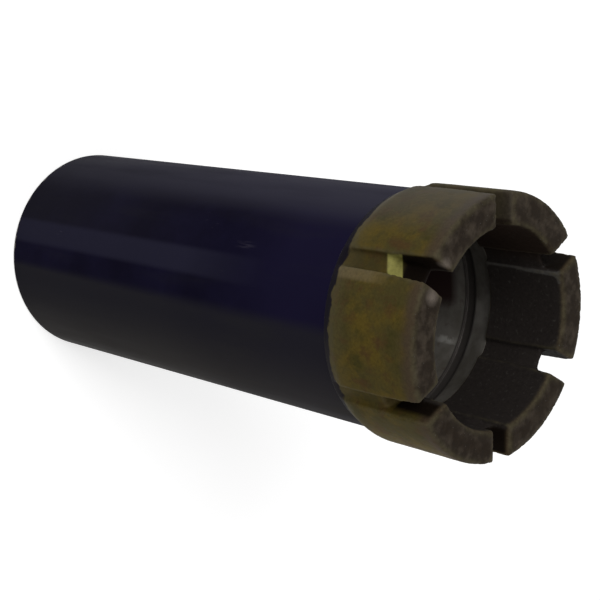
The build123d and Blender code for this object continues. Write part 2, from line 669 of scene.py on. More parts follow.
@dataclass(frozen=True)
class InfiltratedMatrix:
    """Carbide powder infiltrated with bronze: brassy where fresh, grey where rock wore it."""

    bronze: str = "#413A1E"
    metallic: float = 0.2
    specular_level: float = 0.02
    roughness: Fade = Fade(0.3, 0.7, 0.74, 0.5)
    blotches: tuple[Patch, ...] = (
        Patch("golden", "#50431A", Zone(cloud=Cloud(9.0, Fade(0.42, 0.62)))),
        Patch("brown", "#44321C", Zone(cloud=Cloud(5.0, Fade(0.52, 0.68, 0.8), shift=0.31))),
        Patch("olive", "#363216", Zone(cloud=Cloud(7.0, Fade(0.54, 0.7, 0.85), shift=0.77))),
        Patch("pale rear", "#4B4634", Zone(heights=(Fade(168.0, 160.0, 0.5),))),
    )
    # Rock has rubbed the front few millimetres to a pinkish grey, with a ragged border.
    ragged: Cloud = Cloud(3.0, detail=3.0, roughness=0.5)
    pinkish: str = "#40352B"
    rubbed_front: Fade = Fade(187.0, 191.5, 0.85)
    front_border: float = 3.0
    # A grey painted sheen lies along one side of the crown.
    sheen_side: Patch = Patch("grey dust", "#4A4743", Zone(side=Side(-142.0, 36.0, 8.0, 0.5)))
    # Half of the face has a browner ring, and the inner edge has painted shade on the side away
    # from it.
    worn_grey: str = "#251F19"
    face_light: str = "#3A332B"
    face_brown: str = "#211A13"
    face_cloud: Cloud = Cloud(4.0, Fade(0.45, 0.66))
    ring_radius: float = 33.0
    ring_width: Fade = Fade(2.4, 0.8, 0.5)
    ring_side: Side = Side(30.0, 75.0, 50.0)
    shaded_inner_edge: Zone = Zone(side=Side(-165.0, 68.0, 50.0), radii=(Fade(30.4, 29.2, 0.85),))
    # Painted shade darkens the grooves a little, and the pockets and slots in front of them a lot.
    channel_shade: str = "#2E2614"
    pocket_shade: str = "#110C08"
    groove_shade_share: float = 0.4
    lighter_groove: Side = Side(-33.5, 12.0, 9.0, 0.35)
    shaded_from: Fade = Fade(177.3, 178.5)
    # The painted shade is lighter in one waterway on its far wall and rear half, and in another all
    # over.
    less_shaded: tuple[Zone, ...] = (
        Zone(side=Side(-24.5, 6.5, 4.5), radii=(Fade(34.4, 36.2, 0.9),)),
        Zone(side=Side(-33.5, 14.0, 10.0), heights=(Fade(178.6, 177.6, 0.9),)),
        Zone(side=Side(210.0, 14.0, 10.0, 0.85)),
    )
    # Painted light on the upward run-out slope of one waterway.
    lit_slope: Patch = Patch("worn slope", "#675B42", Zone(side=Side(-33.5, 12.0, 9.0, 0.4),
                                                            mark=Attribute.RUN_OUT))
    # The lining is grey and speckled, with browner painted shade on one side, and a painted
    # highlight along one side of a flute.
    lining_grey: str = "#2A2624"
    lining_speck: str = "#3C3936"
    lining_shade: str = "#211812"
    lining_highlight: str = "#474543"
    lining_specks: Zone = Zone(cloud=Cloud(1.2, Fade(0.6, 0.72, 0.8), 3.0))
    shaded_lining_side: Side = Side(190.0, 48.0, 30.0, 0.8)
    lit_flute: Zone = Zone(side=Side(141.0, 4.6, 3.8), mark=Attribute.LINING)
    lit_edge: Fade = Fade(0.02, 0.3)
    # One waterway's run-out has a painted pool of light in bright bronze, between two askew planes
    # that stand for its shadow edges.
    lit_bronze: str = "#837F47"
    lit_zone: Zone = Zone(side=Side(-94.5, 5.4, 4.4), mark=Attribute.CHANNEL)
    light_border_direction: Place = (-0.3226, 0.552, 0.769)
    light_borders: tuple[Fade, Fade] = (Fade(115.7, 116.2), Fade(120.1, 119.8))
    # Edges are rubbed pale where no painted shade lies, and two corners and the rim by a groove get
    # painted highlights.
    pale: str = "#4B4634"
    edge_rub: float = 0.55
    edge_zone: Zone = Zone(cloud=Cloud(2.5, Fade(0.3, 0.6)), mark=Attribute.EDGE)
    lit_corner: str = "#6A6159"
    lit_corners: tuple[Place, ...] = ((-5.8, -32.3, 191.4), (2.8, -33.3, 191.4))
    corner_size: Fade = Fade(3.0, 0.6, 0.75)
    rim_highlight: str = "#675B42"
    rim_highlight_zone: Zone = Zone(side=Side(-88.0, 3.6, 1.2), heights=(Fade(180.0, 172.0, 0.6),))
    # The shank's paint laps over the crown's rear shoulder, with a ragged edge.
    lapped_paint: str = "#0E0C18"
    # On one flank the lapped paint takes the shank's dust and painted floor reflection.
    lapped_dust_and_reflection: str = "#201E22"
    lapped_reflection_side: Side = Side(0.0, 65.0, 50.0)
    lap: Fade = Fade(158.7, 158.0, 0.95)
    lap_border: float = -4.0
    # Carbide grains, drawn at 0.5 mm because the real 0.1 mm would not show.
    grain: float = 0.5
    grain_weight: float = 0.35
    grain_strength: float = 0.5
    grain_depth: float = 0.05
    fine: Cloud = Cloud(0.9, detail=5.0, roughness=0.7)
    speckle: Fade = Fade(0.3, 0.7, 1.22, 0.78)

    def material(self) -> bpy.types.Material:
        """Builds the matrix."""
        crown = Surface("infiltrated matrix", self.bronze)
        channel = crown.share(Zone(mark=Attribute.CHANNEL))
        crown.lay_patches(*self.blotches)
        ragged = crown.noise(self.ragged)
        border = ragged.math("MULTIPLY_ADD", self.front_border * MM, crown.height)
        crown.lay(border.eased(self.rubbed_front, MM), self.pinkish, "rubbed front")
        # Grey painted sheen along one side.
        crown.lay_patches(self.sheen_side)
        self.dress_face(crown)
        # Painted shade in the grooves, and more in the pockets and slots.
        groove_shade = crown.side(self.lighter_groove).math("MULTIPLY_ADD", -1.0, self.groove_shade_share)
        crown.lay(channel * groove_shade, self.channel_shade, "grooves")
        painted_shade = channel * crown.height.through(self.shaded_from, MM)
        for zone in self.less_shaded:
            painted_shade = painted_shade * crown.share(zone).rest()
        crown.lay(painted_shade, self.pocket_shade, "clogged pockets")
        # Painted light on one run-out slope.
        crown.lay_patches(self.lit_slope)
        self.dress_lining(crown)
        self.dress_wear(crown, channel, painted_shade)
        edge = ragged.math("MULTIPLY_ADD", self.lap_border * MM, crown.height)
        lap = edge.through(self.lap, MM)
        paint = crown.blend(crown.side(self.lapped_reflection_side), self.lapped_paint, self.lapped_dust_and_reflection)
        crown.lay(lap, paint, "lapped paint")
        grains = crown.term("ShaderNodeTexVoronoi",
                            {"Vector": crown.place, "Scale": per_metre(self.grain)}, "Distance")
        fine = crown.noise(self.fine)
        crown.colour = crown.add("ShaderNodeVectorMath",
                                 {0: crown.colour, "Scale": fine.through(self.speckle)},
                                 operation="SCALE").outputs[0]
        grainy = grains.math("MULTIPLY_ADD", self.grain_weight, fine)
        paint_or_shade = lap.math("MAXIMUM", painted_shade)
        return crown.close({
            "Metallic": paint_or_shade.math("MULTIPLY_ADD", -self.metallic, self.metallic),
            "Roughness": fine.through(self.roughness), "Specular IOR Level": self.specular_level,
            "Normal": crown.add("ShaderNodeBump", {
                "Height": grainy, "Strength": self.grain_strength,
                "Distance": self.grain_depth * MM})})

    def dress_face(self, crown: Surface) -> None:
        """Colours the cutting face and its inner edge."""
        cloudy = crown.share(Zone(cloud=self.face_cloud))
        tone = crown.blend(cloudy, self.worn_grey, self.face_light)
        off_ring = (crown.radius - self.ring_radius * MM).math("ABSOLUTE")
        ring = off_ring.through(self.ring_width, MM) * crown.side(self.ring_side)
        tone = crown.blend(ring, tone, self.face_brown)
        crown.lay(crown.share(Zone(mark=Attribute.FACE)), tone, "cutting face")
        # Painted shade on the inner edge, on one side.
        crown.lay(crown.share(self.shaded_inner_edge), self.face_brown, "shaded inner edge")

    def dress_lining(self, crown: Surface) -> None:
        """Colours the lining and its one shining edge."""
        tone = crown.blend(crown.share(self.lining_specks), self.lining_grey, self.lining_speck)
        # Painted shade on one side of the lining.
        tone = crown.blend(crown.side(self.shaded_lining_side), tone, self.lining_shade)
        crown.lay(crown.share(Zone(mark=Attribute.LINING)), tone, "lining")
        edge = crown.share(Zone(mark=Attribute.EDGE))
        # Painted highlight along one side of a flute.
        lit = edge.through(self.lit_edge) * crown.share(self.lit_flute)
        crown.lay(lit, self.lining_highlight, "shining edge")

    def dress_wear(self, crown: Surface, channel: Term, painted_shade: Term) -> None:
        """Colours the painted light on a run-out, the edges rubbed pale, and the painted highlights
        on two corners and a rim.

        Args:
            crown: Material in the making.
            channel: Share inside a waterway.
            painted_shade: Share of the painted shade in the pockets and slots.
        """
        # Painted pool of light on one run-out, bounded by two planes.
        along = crown.term("ShaderNodeVectorMath", {0: crown.place, 1: self.light_border_direction},
                           "Value", operation="DOT_PRODUCT")
        bright = crown.share(self.lit_zone)
        for plane in self.light_borders:
            bright = bright * along.through(plane, MM)
        crown.lay(bright, self.lit_bronze, "lit run-out")
        unshaded_edge = painted_shade.math("MULTIPLY_ADD", -self.edge_rub, self.edge_rub)
        crown.lay(crown.share(self.edge_zone) * unshaded_edge, self.pale, "rubbed edges")
        # Painted highlights on two corners of the face.
        for corner in self.lit_corners:
            spot = tuple(part * MM for part in corner)
            away = crown.term("ShaderNodeVectorMath", {0: crown.place, 1: spot}, "Value",
                              operation="DISTANCE")
            crown.lay(away.through(self.corner_size, MM), self.lit_corner, "lit corner")
        # Painted highlight on the rim beside one groove.
        crown.lay(crown.share(self.rim_highlight_zone) * channel.rest(), self.rim_highlight, "rim highlight")


@dataclass(frozen=True)
class SyntheticDiamond:
    """Industrial diamond grit: small blocky crystals of a dull greenish yellow."""

    crystal: str = "#332E24"
    shaded: str = "#221F18"
    cloud: Cloud = Cloud(0.8, detail=1.0, roughness=0.5)
    roughness: float = 0.7
    ior: float = 2.4
    specular_level: float = 0.1

    def material(self) -> bpy.types.Material:
        """Builds the grit."""
        grit = Surface("synthetic diamond", self.crystal)
        grit.lay(grit.noise(self.cloud), self.shaded, "shaded side")
        return grit.close({"Roughness": self.roughness, "IOR": self.ior,
                           "Specular IOR Level": self.specular_level})


# --- the steel shank ------------------------------------------------------------------------------


@dataclass(frozen=True)
class Bond:
    """Sizes that shank and crown share, where the matrix grips the steel."""

    shank_radius: float = 36.0
    rear: float = 157.5
    lining_end: float = 164.8
    lining_radius: float = 30.7
    nose_radius: float = 34.65
    nose_tip: float = 175.0
    nose_chamfer: float = 0.8

    def nose(self) -> list[Point]:
        """Outline of the nose, up its outside and down its inside."""
        return [(self.nose_radius, self.rear),
                (self.nose_radius, self.nose_tip - self.nose_chamfer),
                (self.nose_radius - self.nose_chamfer, self.nose_tip),
                (self.lining_radius + self.nose_chamfer, self.nose_tip),
                (self.lining_radius, self.nose_tip - self.nose_chamfer),
                (self.lining_radius, self.lining_end)]


@dataclass
class BoxThread:
    """Ridge of the box thread, wound round the wall of the shank's rear end.

    Its ends are fades along the helix from a small section to the full one.
    """

    wall_radius: float = 33.8
    pitch: float = 6.35
    first_height: float = 3.0
    last_height: float = 40.0
    ridge_height: float = 0.9
    root_width: float = 3.1
    crest_width: float = 2.8
    sink: float = 0.15
    steps_per_turn: int = 96
    ends: tuple[Fade, Fade] = (Fade(0.0, 0.03, 1.0, 0.05), Fade(1.0, 0.97, 1.0, 0.05))
    sharp_angle: float = 40.0

    def tree(self) -> bpy.types.NodeTree:
        """Geometry tree that sweeps the ridge along a right-hand helix, with tapered ends."""
        floats = ("Wall Radius", "Turns", "Rise", "Start", "Ridge Height", "Sink", "Root Width",
                  "Crest Width")
        tree = new_geometry_tree("box_thread", {
            **dict.fromkeys(floats, "Float"), "Steps": "Int", "Material": "Material"})
        given = add_node(tree, "NodeGroupInput").outputs
        helix = add_node(tree, "GeometryNodeCurveSpiral", {
            "Resolution": given["Steps"], "Rotations": given["Turns"],
            "Start Radius": given["Wall Radius"], "End Radius": given["Wall Radius"],
            "Height": given["Rise"], "Reverse": True})
        lift = add_node(tree, "ShaderNodeCombineXYZ", {"Z": given["Start"]})
        placed = add_node(tree, "GeometryNodeSetPosition", {"Geometry": helix, "Offset": lift})
        upright = add_node(tree, "GeometryNodeSetCurveNormal", {"Curve": placed}, mode="Z_UP")
        along = Term(tree, add_node(tree, "GeometryNodeSplineParameter").outputs["Factor"])
        start, end = (along.eased(fade) for fade in self.ends)
        tapered = add_node(tree, "GeometryNodeSetCurveRadius",
                           {"Curve": upright, "Radius": start.math("MINIMUM", end)})
        whole = Term(tree, given["Ridge Height"]) + given["Sink"]
        section = add_node(tree, "GeometryNodeCurvePrimitiveQuadrilateral", {
            "Height": whole, "Bottom Width": given["Root Width"],
            "Top Width": given["Crest Width"], "Offset": 0.0}, mode="TRAPEZOID")
        shift = add_node(tree, "ShaderNodeCombineXYZ", {"Y": whole * 0.5 - given["Sink"]})
        seated = add_node(tree, "GeometryNodeTransform",
                          {"Geometry": section, "Translation": shift})
        inward = add_node(tree, "GeometryNodeTransform",
                          {"Geometry": seated, "Rotation": (0.0, 0.0, math.radians(90))})
        ridge = add_node(tree, "GeometryNodeCurveToMesh",
                         {"Curve": tapered, "Profile Curve": inward, "Fill Caps": True})
        end_tree(tree, ridge, given["Material"])
        return tree

    def build(self, steel: bpy.types.Material) -> None:
        """Makes and hands over the ridge.

        Args:
            steel: Finish of the ridge.
        """
        rise = self.last_height - self.first_height
        piece = new_piece("thread_ridge", [], [])
        apply_tree(piece, self.tree(), {
            "Wall Radius": self.wall_radius * MM, "Turns": rise / self.pitch, "Rise": rise * MM,
            "Start": self.first_height * MM, "Ridge Height": self.ridge_height * MM,
            "Sink": self.sink * MM, "Root Width": self.root_width * MM,
            "Crest Width": self.crest_width * MM, "Steps": self.steps_per_turn,
            "Material": steel})
        smooth(piece, self.sharp_angle)
        finish_piece(piece, Slot.SHANK)


@dataclass
class Shank:
    """Turned steel blank: painted outside, bare inside, with the nose that carries the crown."""

    bond: Bond = Bond()
    rim_chamfer: float = 0.5
    thread_radius: float = 33.8
    thread_length: float = 42.0
    relief_radius: float = 34.4
    relief_end: float = 47.0
    stop_end: float = 48.6
    bore: float = 32.4
    seat_relief: tuple[float, float, float] = (152.6, 156.0, 33.2)
    flute_radius: float = 29.7
    paint_reach: float = 0.3
    rim_height: float = 0.01
    steps: int = 192
    corner_steps: int = 3
    sharp_angle: float = 28.0
    thread: BoxThread = field(default_factory=BoxThread)

    def outline(self) -> list[Point]:
        """Outline that goes up the painted surface, over the nose and down the bore."""
        relief_low, relief_high, relief_radius = self.seat_relief
        bond = self.bond
        corners: list[Corner] = [
            (self.thread_radius + self.rim_chamfer, 0.0, 0.12),
            (bond.shank_radius - self.rim_chamfer, 0.0, 0.2),
            (bond.shank_radius, self.rim_chamfer, 0.3),
            (bond.shank_radius, bond.rear, 0.0),
            *((radius, height, 0.0) for radius, height in bond.nose()),
            (self.flute_radius, bond.lining_end, 0.1),
            (self.bore, relief_high, 0.15),
            (relief_radius, relief_high, 0.3),
            (relief_radius, relief_low, 0.3),
            (self.bore, relief_low, 0.15),
            (self.bore, self.stop_end, 0.25),
            (self.relief_radius, self.relief_end, 0.3),
            (self.relief_radius, self.thread_length, 0.25),
            (self.thread_radius, self.thread_length, 0.12),
            (self.thread_radius, self.rim_chamfer, 0.12),
        ]
        return rounded(corners, self.corner_steps)

    def finish_at(self, start: Point, end: Point) -> int:
        """Number of the finish of one band: 0 for paint and 1 for bare steel."""
        paint_from = self.bond.shank_radius - self.rim_chamfer - self.paint_reach
        outside = min(start[0], end[0]) > paint_from
        return 0 if outside and max(start[1], end[1]) > self.rim_height else 1

    def build(self) -> None:
        """Makes, dresses and hands over the shank and its thread."""
        enamel = IndigoEnamel().material()
        steel = TurnedSteel().material()
        piece = turned("shank_body", self.outline(), self.steps, self.finish_at)
        for finish in (enamel, steel):
            piece.data.materials.append(finish)
        smooth(piece, self.sharp_angle)
        finish_piece(piece, Slot.SHANK, "steel_shank")
        self.thread.build(steel)


# --- the matrix crown -----------------------------------------------------------------------------


@dataclass
class Waterway:
    """Cutter for one waterway: slot, pocket, run-out and outer groove, and the inner flute."""

    inside: float = 25.5
    outside: float = 41.0
    above: float = 194.5
    below: float = 154.5
    flute_end: float = 161.8
    flute_radius: float = 29.7
    slot_root: float = 185.0
    web: tuple[float, float] = (30.7, 31.5)
    pocket_end: float = 178.0
    run_out: float = 175.8
    groove_radius: float = 36.15
    corner: float = 2.2
    corner_steps: int = 5
    face_z: float = 191.5
    face_width: float = 7.0
    back_width: float = 5.4

    def half_width(self, height: float) -> float:
        """Half the waterway's width at a height."""
        growth = (self.face_width - self.back_width) / (self.face_z - self.run_out)
        return (self.back_width + growth * max(0.0, height - self.run_out)) / 2

    def build(self) -> bpy.types.Object:
        """Makes the cutter as one closed mesh.

        Returns:
            The cutter, lying over +X.
        """
        slope = rounded([(self.web[0], self.slot_root, 0.0),
                         (self.web[1], self.pocket_end, self.corner),
                         (self.groove_radius, self.run_out, 0.0)], self.corner_steps)
        slot = [(self.inside, self.above), (self.inside, self.run_out),
                (self.flute_radius, self.run_out), (self.flute_radius, self.slot_root), *slope,
                (self.outside, self.run_out), (self.outside, self.above)]
        flute = [(self.inside, self.run_out), (self.inside, self.flute_end),
                 (self.flute_radius, self.flute_end), (self.flute_radius, self.run_out)]
        groove = [(self.groove_radius, self.run_out), (self.groove_radius, self.below),
                  (self.outside, self.below), (self.outside, self.run_out)]
        numbers: dict[Point, int] = {}
        vertices: list[Place] = []
        for point in (*slot, *flute, *groove):
            if point not in numbers:
                numbers[point] = len(vertices)
                half = self.half_width(point[1])
                vertices += [(point[0], half, point[1]), (point[0], -half, point[1])]
        faces: list[tuple[int, ...]] = []
        sides: dict[tuple[int, int], bool] = {}
        for polygon in (slot, flute, groove):
            ring = [numbers[point] for point in polygon]
            faces += [tuple(ring), tuple(number + 1 for number in reversed(ring))]
            for start, end in zip(ring, ring[1:] + ring[:1]):
                # A side that two of the outlines share lies inside the cutter and gets no face.
                if (end, start) in sides:
                    del sides[(end, start)]
                else:
                    sides[(start, end)] = True
        faces += [(start, start + 1, end + 1, end) for start, end in sides]
        piece = new_piece("waterway_cutter", vertices, faces)
        close_surface(piece)
        return piece


@dataclass
class Wear:
    """Wear of the crown: soft edges, pits, swells and chips, and the zones that its finish reads.

    Heights, radii and depths of the zones are fades in millimetres, and a facing is a fade of
    the upward part of the surface's direction.
    """

    rounding: int = 3
    spread: int = 14
    pit_size: float = 1.1
    pit_depth: float = 0.07
    pits: Fade = Fade(0.56, 0.7)
    swell_size: float = 4.5
    swell_depth: float = 0.05
    swells: Fade = Fade(0.3, 0.75)
    chip_size: float = 1.8
    chip_depth: float = 0.22
    chips: Fade = Fade(0.48, 0.68)
    worn_from: Fade = Fade(0.6, 2.0)
    edge_bulge: Fade = Fade(0.06, 0.3)
    channel_depth: Fade = Fade(0.5, 0.9)
    channel_radius: Fade = Fade(29.2, 29.6)
    channel_front: Fade = Fade(189.6, 190.6)
    run_out_facing: Fade = Fade(0.3, 0.6)
    run_out_height: Fade = Fade(184.0, 182.0)
    face_facing: Fade = Fade(0.45, 0.8)
    face_height: Fade = Fade(189.8, 190.8)
    lining_radius: Fade = Fade(30.3, 29.8)
    lining_height: Fade = Fade(190.9, 190.2)

    def tree(self) -> bpy.types.NodeTree:
        """Geometry tree that rounds the edges, stores the finish's zones and pits the surface."""
        floats = ("Pit Depth", "Pit Size", "Swell Depth", "Swell Size", "Chip Depth", "Chip Size",
                  "Rear", "Shoulder Slope", "Outer", "Shank Radius")
        tree = new_geometry_tree("worn_matrix", {
            "Rounding": "Int", "Spread": "Int", **dict.fromkeys(floats, "Float"),
            "Material": "Material"})
        given = add_node(tree, "NodeGroupInput").outputs
        place = add_node(tree, "GeometryNodeInputPosition")
        normal = add_node(tree, "GeometryNodeInputNormal")
        near, wide = (add_node(tree, "GeometryNodeBlurAttribute",
                               {"Value": place, "Iterations": given[times]},
                               data_type="FLOAT_VECTOR") for times in ("Rounding", "Spread"))
        worn = add_node(tree, "GeometryNodeSetPosition",
                        {"Geometry": given["Geometry"], "Position": near})
        proud = add_node(tree, "ShaderNodeVectorMath", {0: place, 1: wide}, operation="SUBTRACT")
        bulge = Term(tree, add_node(tree, "ShaderNodeVectorMath", {0: proud, 1: normal},
                                    operation="DOT_PRODUCT").outputs["Value"])
        facing = Term(tree, add_node(tree, "ShaderNodeSeparateXYZ", {0: normal}).outputs["Z"])
        spot = add_node(tree, "ShaderNodeSeparateXYZ", {0: place}).outputs
        level = add_node(tree, "ShaderNodeCombineXYZ", {"X": spot["X"], "Y": spot["Y"]})
        radius = Term(tree, add_node(tree, "ShaderNodeVectorMath", {0: level},
                                     operation="LENGTH").outputs["Value"])
        height = Term(tree, spot["Z"])
        above = height - given["Rear"]
        cone = above.math("MULTIPLY_ADD", given["Shoulder Slope"], given["Shank Radius"])
        depth = cone.math("MINIMUM", given["Outer"]) - radius
        sunk = (depth.eased(self.channel_depth, MM) * radius.eased(self.channel_radius, MM)
                * height.eased(self.channel_front, MM).rest())
        zones = {
            Attribute.EDGE: (bulge.eased(self.edge_bulge, MM), 1),
            Attribute.FACE: (facing.eased(self.face_facing)
                             * height.eased(self.face_height, MM), 2),
            Attribute.LINING: (radius.eased(self.lining_radius, MM)
                               * height.eased(self.lining_height, MM), 2),
            Attribute.CHANNEL: (sunk, 1),
            Attribute.RUN_OUT: (sunk * (facing.eased(self.run_out_facing)
                                        * height.eased(self.run_out_height, MM)), 1),
        }
        for attribute, (share, times) in zones.items():
            spread = add_node(tree, "GeometryNodeBlurAttribute",
                              {"Value": share, "Iterations": times}, data_type="FLOAT")
            worn = add_node(tree, "GeometryNodeStoreNamedAttribute",
                            {"Geometry": worn, "Name": attribute.value, "Value": spread},
                            data_type="FLOAT", domain="POINT")
        edge = add_node(tree, "GeometryNodeInputNamedAttribute", {"Name": Attribute.EDGE.value},
                        data_type="FLOAT")
        pits, swells, chips = (
            Term(tree, add_node(tree, "ShaderNodeTexNoise", {
                "Vector": place, "Scale": given[size], "Detail": detail,
                "Roughness": roughness})).eased(fade)
            for size, detail, roughness, fade in (
                ("Pit Size", 2.0, 0.55, self.pits), ("Swell Size", 2.0, 0.5, self.swells),
                ("Chip Size", 3.0, 0.6, self.chips)))
        lost = (pits * given["Pit Depth"] + swells * given["Swell Depth"]
                + chips * edge * given["Chip Depth"])
        lost = lost * above.eased(self.worn_from, MM)
        back = add_node(tree, "ShaderNodeVectorMath", {0: normal, "Scale": lost * -1.0},
                        operation="SCALE")
        pitted = add_node(tree, "GeometryNodeSetPosition", {"Geometry": worn, "Offset": back})
        end_tree(tree, pitted, given["Material"])
        return tree


@dataclass
class Crown:
    """Infiltrated crown: a turned body, its ring of waterways, worn edges and the nose's pocket."""

    outer: float = 38.15
    core: float = 28.5
    bond: Bond = Bond()
    shoulder: float = 5.4
    shoulder_rounding: float = 0.6
    face_z: float = 191.5
    face_rounding: float = 1.1
    grit_stand: float = 0.1
    slack: float = 0.02
    trim: float = 1.2
    pocket_margin: float = 6.0
    core_margin: float = 2.0
    voxel: float = 0.48
    count: int = 6
    phase_degrees: float = 30.0
    first_drifted: int = 4
    drift_degrees: float = -4.5
    drift_step_degrees: float = 1.0
    steps: int = 240
    pocket_steps: int = 192
    corner_steps: int = 5
    sharp_angle: float = 50.0
    waterway: Waterway = field(default_factory=Waterway)
    wear: Wear = field(default_factory=Wear)

    def shoulder_slope(self) -> float:
        """Growth of the shoulder's radius for each unit of height."""
        return (self.outer - self.bond.shank_radius) / self.shoulder

    def body(self) -> bpy.types.Object:
        """Turned body without its pocket, a little longer than the crown at both rear edges."""
        outer = self.outer - self.slack
        core = self.core + self.slack
        face = self.face_z - self.grit_stand
        bond = self.bond
        corners: list[Corner] = [
            (bond.shank_radius - self.shoulder_slope() * self.trim, bond.rear - self.trim, 0.0),
            (outer, bond.rear + self.shoulder, self.shoulder_rounding),
            (outer, face, self.face_rounding),
            (core, face, self.face_rounding),
            (core, bond.lining_end - self.trim, 0.0),
            (bond.lining_radius, bond.lining_end - self.trim, 0.0),
            (bond.lining_radius, bond.rear - self.trim, 0.0),
        ]
        return turned("crown_body", rounded(corners, self.corner_steps), self.steps)

    def pocket(self) -> bpy.types.Object:
        """Cutter for the pocket round the nose, which also trims both rear edges."""
        far = self.outer + self.pocket_margin
        low = self.bond.rear - self.pocket_margin
        near = self.core - self.core_margin
        outline = [(far, low), (far, self.bond.rear), *self.bond.nose(),
                   (near, self.bond.lining_end), (near, low)]
        return turned("nose_pocket", outline, self.pocket_steps)

    def ring_tree(self) -> bpy.types.NodeTree:
        """Geometry tree that cuts a ring of waterways, the last of which drift off even pitch."""
        tree = new_geometry_tree("waterway_ring", {
            "Cutter": "Object", "Count": "Int", "Phase": "Float", "First Drifted": "Int",
            "Drift": "Float", "Drift Step": "Float", "Material": "Material"})
        given = add_node(tree, "NodeGroupInput").outputs
        cutter = add_node(tree, "GeometryNodeObjectInfo", {"Object": given["Cutter"]})
        points = add_node(tree, "GeometryNodePoints", {"Count": given["Count"]})
        number = Term(tree, add_node(tree, "GeometryNodeInputIndex"))
        even = number.math("DIVIDE", given["Count"]).math("MULTIPLY_ADD", 2 * math.pi,
                                                          given["Phase"])
        past = number - given["First Drifted"]
        drift = past.math("MULTIPLY_ADD", given["Drift Step"], given["Drift"])
        askew = drift.math("MULTIPLY_ADD", past.math("GREATER_THAN", -0.5), even)
        turn = add_node(tree, "ShaderNodeCombineXYZ", {"Z": askew})
        placed = add_node(tree, "GeometryNodeInstanceOnPoints", {
            "Points": points, "Instance": cutter.outputs["Geometry"], "Rotation": turn})
        plain = add_node(tree, "GeometryNodeRealizeInstances", {"Geometry": placed})
        cut = add_node(tree, "GeometryNodeMeshBoolean", {0: given["Geometry"], 1: plain},
                       operation="DIFFERENCE", solver="EXACT")
        end_tree(tree, cut.outputs["Mesh"], given["Material"])
        return tree

    def build(self) -> bpy.types.Object:
        """Makes, dresses and hands over the crown.

        Returns:
            The finished piece.
        """
        matrix = InfiltratedMatrix().material()
        wear = self.wear
        piece = self.body()
        cutter = self.waterway.build()
        apply_tree(piece, self.ring_tree(), {
            "Cutter": cutter, "Count": self.count, "Phase": math.radians(self.phase_degrees),
            "First Drifted": self.first_drifted, "Drift": math.radians(self.drift_degrees),
            "Drift Step": math.radians(self.drift_step_degrees), "Material": matrix})
        LOG.info("crown cut: %d faces", len(piece.data.polygons))
        even = piece.modifiers.new("even", "REMESH")
        even.mode = "VOXEL"
        even.voxel_size = self.voxel * MM
        freeze(piece)
        LOG.info("crown evened: %d faces", len(piece.data.polygons))
        apply_tree(piece, wear.tree(), {
            "Rounding": wear.rounding, "Spread": wear.spread,
            "Pit Depth": wear.pit_depth * MM, "Pit Size": per_metre(wear.pit_size),
            "Swell Depth": wear.swell_depth * MM, "Swell Size": per_metre(wear.swell_size),
            "Chip Depth": wear.chip_depth * MM, "Chip Size": per_metre(wear.chip_size),
            "Rear": self.bond.rear * MM, "Shoulder Slope": self.shoulder_slope(),
            "Outer": self.outer * MM, "Shank Radius": self.bond.shank_radius * MM,
            "Material": matrix})
        pocket = self.pocket()
        seat = piece.modifiers.new("pocket", "BOOLEAN")
        seat.operation = "DIFFERENCE"
        seat.solver = "EXACT"
        seat.object = pocket
        freeze(piece)
        LOG.info("crown pocketed: %d faces", len(piece.data.polygons))
        for tool in (cutter, pocket):
            remove_piece(tool)
        piece.data.materials.clear()
        piece.data.materials.append(matrix)
        smooth(piece, self.sharp_angle)
        finish_piece(piece, Slot.CROWN, "matrix_crown")
        return piece


